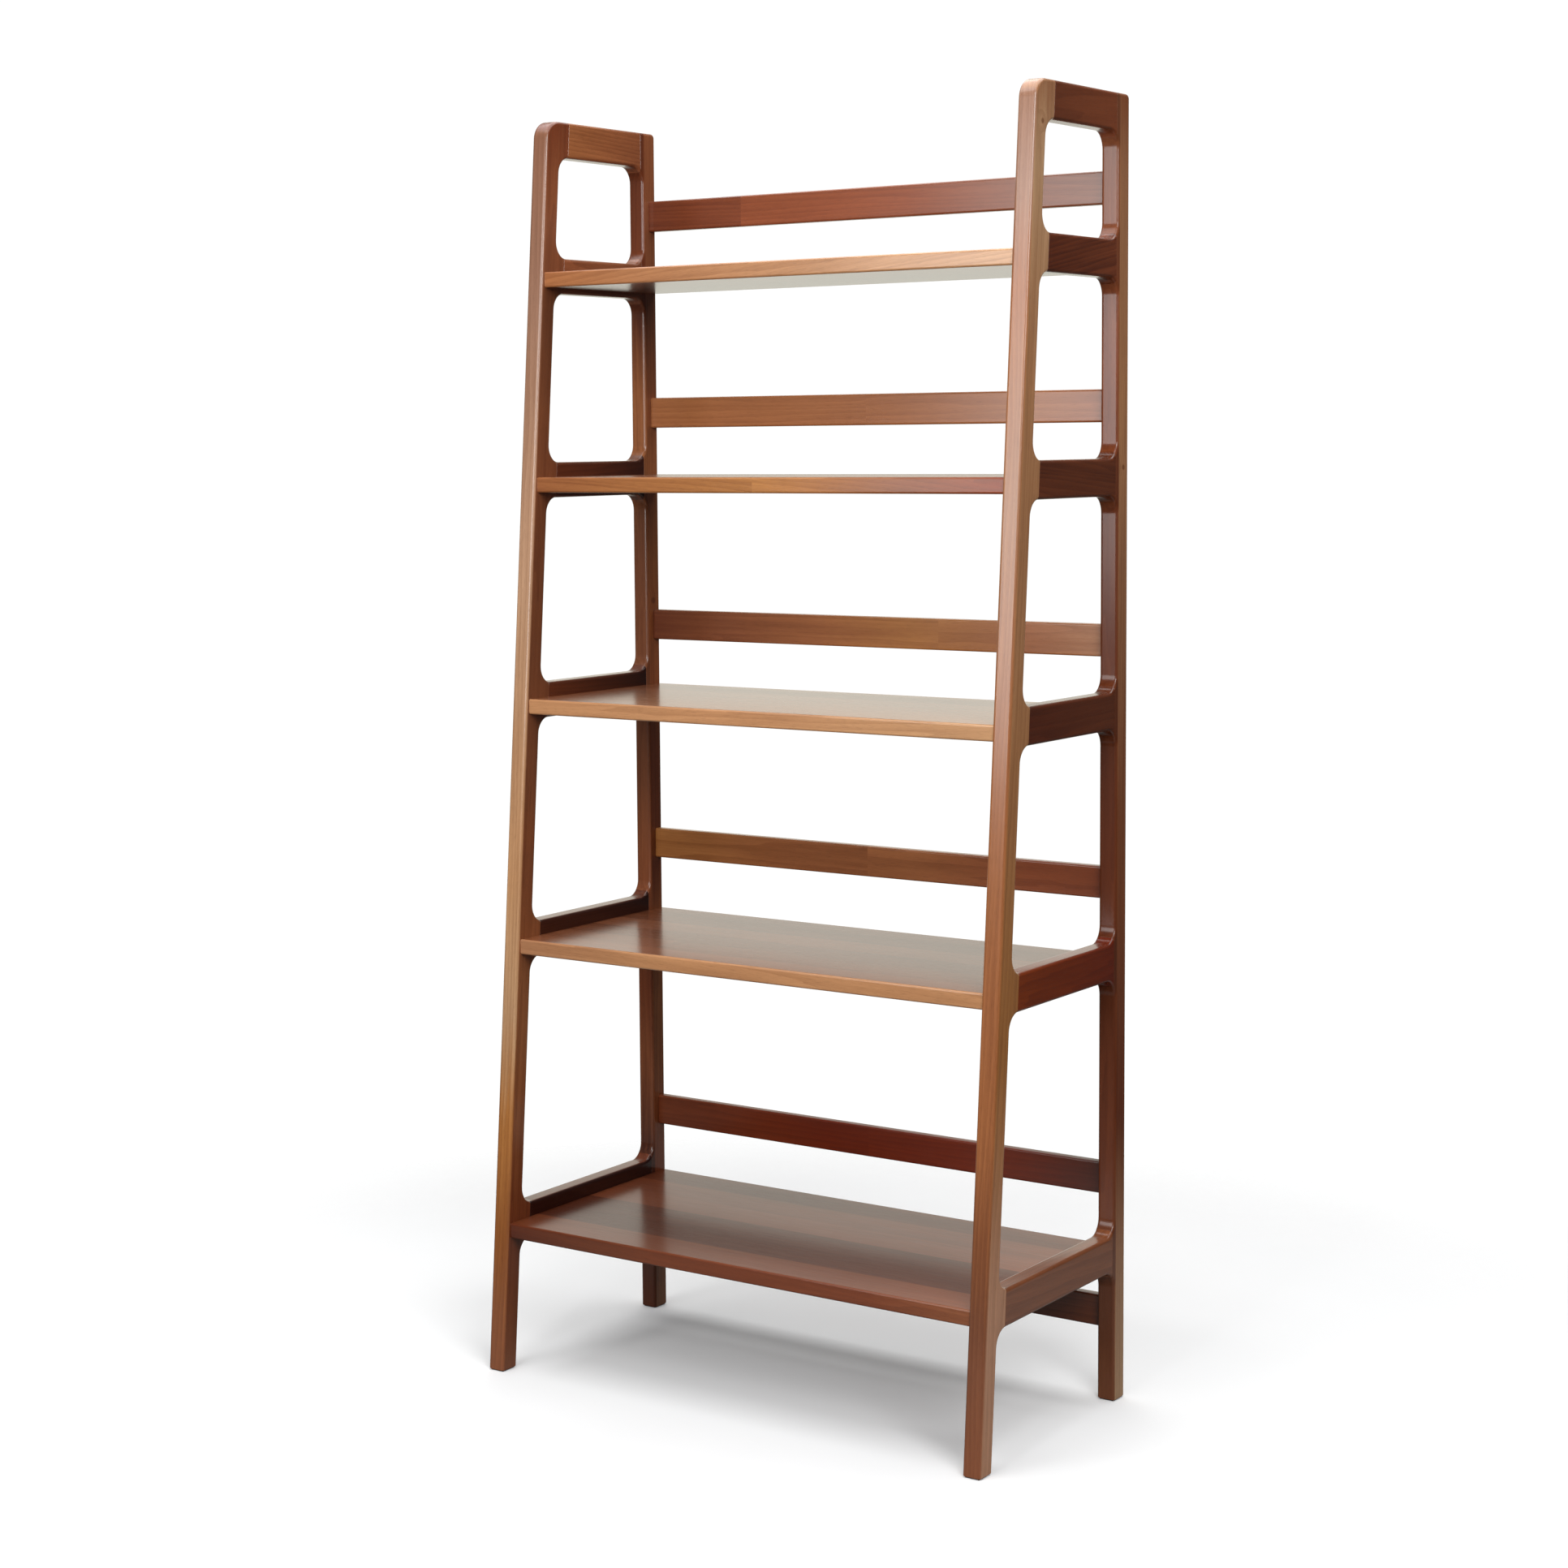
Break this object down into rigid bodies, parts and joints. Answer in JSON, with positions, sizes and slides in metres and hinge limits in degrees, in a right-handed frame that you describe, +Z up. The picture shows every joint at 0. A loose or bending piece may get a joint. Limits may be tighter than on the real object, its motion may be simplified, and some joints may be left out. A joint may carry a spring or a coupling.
{
  "type": "ladder shelf",
  "caption": "Free-standing ladder shelf in walnut: tapered side frames with slanted front legs, open shelves and slim back rails.",
  "frame": {"origin": "on the floor, in the middle of the width and of the depth over the feet", "axes": "+X to the right as seen from the front, +Y to the back (the straight back legs), +Z up"},
  "size_m": [0.82, 0.405, 1.8],
  "materials": {
    "leg_walnut": "satin lacquered walnut, grain along the leg",
    "rail_walnut": "satin lacquered walnut, grain along the rail",
    "shelf_walnut": "satin lacquered walnut board of glued staves, grain along the shelf",
    "back_rail_walnut": "satin lacquered walnut, grain along the rail",
    "beech_dowel": "bare fluted beech",
    "glide": "matt dark nylon"
  },
  "bodies": {
    "root": {"left_front_leg": "leg_walnut", "left_back_leg": "leg_walnut", "left_top_rail": "rail_walnut", "right_front_leg": "leg_walnut", "right_back_leg": "leg_walnut", "right_top_rail": "rail_walnut", "left_shelf_rail_1": "rail_walnut", "left_shelf_rail_2": "rail_walnut", "left_shelf_rail_3": "rail_walnut", "left_shelf_rail_4": "rail_walnut", "left_shelf_rail_5": "rail_walnut", "right_shelf_rail_1": "rail_walnut", "right_shelf_rail_2": "rail_walnut", "right_shelf_rail_3": "rail_walnut", "right_shelf_rail_4": "rail_walnut", "right_shelf_rail_5": "rail_walnut", "shelf_1": "shelf_walnut", "shelf_2": "shelf_walnut", "shelf_3": "shelf_walnut", "shelf_4": "shelf_walnut", "shelf_5": "shelf_walnut", "back_rail_1": "back_rail_walnut", "back_rail_2": "back_rail_walnut", "back_rail_3": "back_rail_walnut", "back_rail_4": "back_rail_walnut", "back_rail_5": "back_rail_walnut", "back_rail_6": "back_rail_walnut", "left_frame_dowels": "beech_dowel", "right_frame_dowels": "beech_dowel", "shelf_dowels": "beech_dowel", "back_rail_dowels": "beech_dowel", "foot_pads": "glide"}
  },
  "joints": []
}
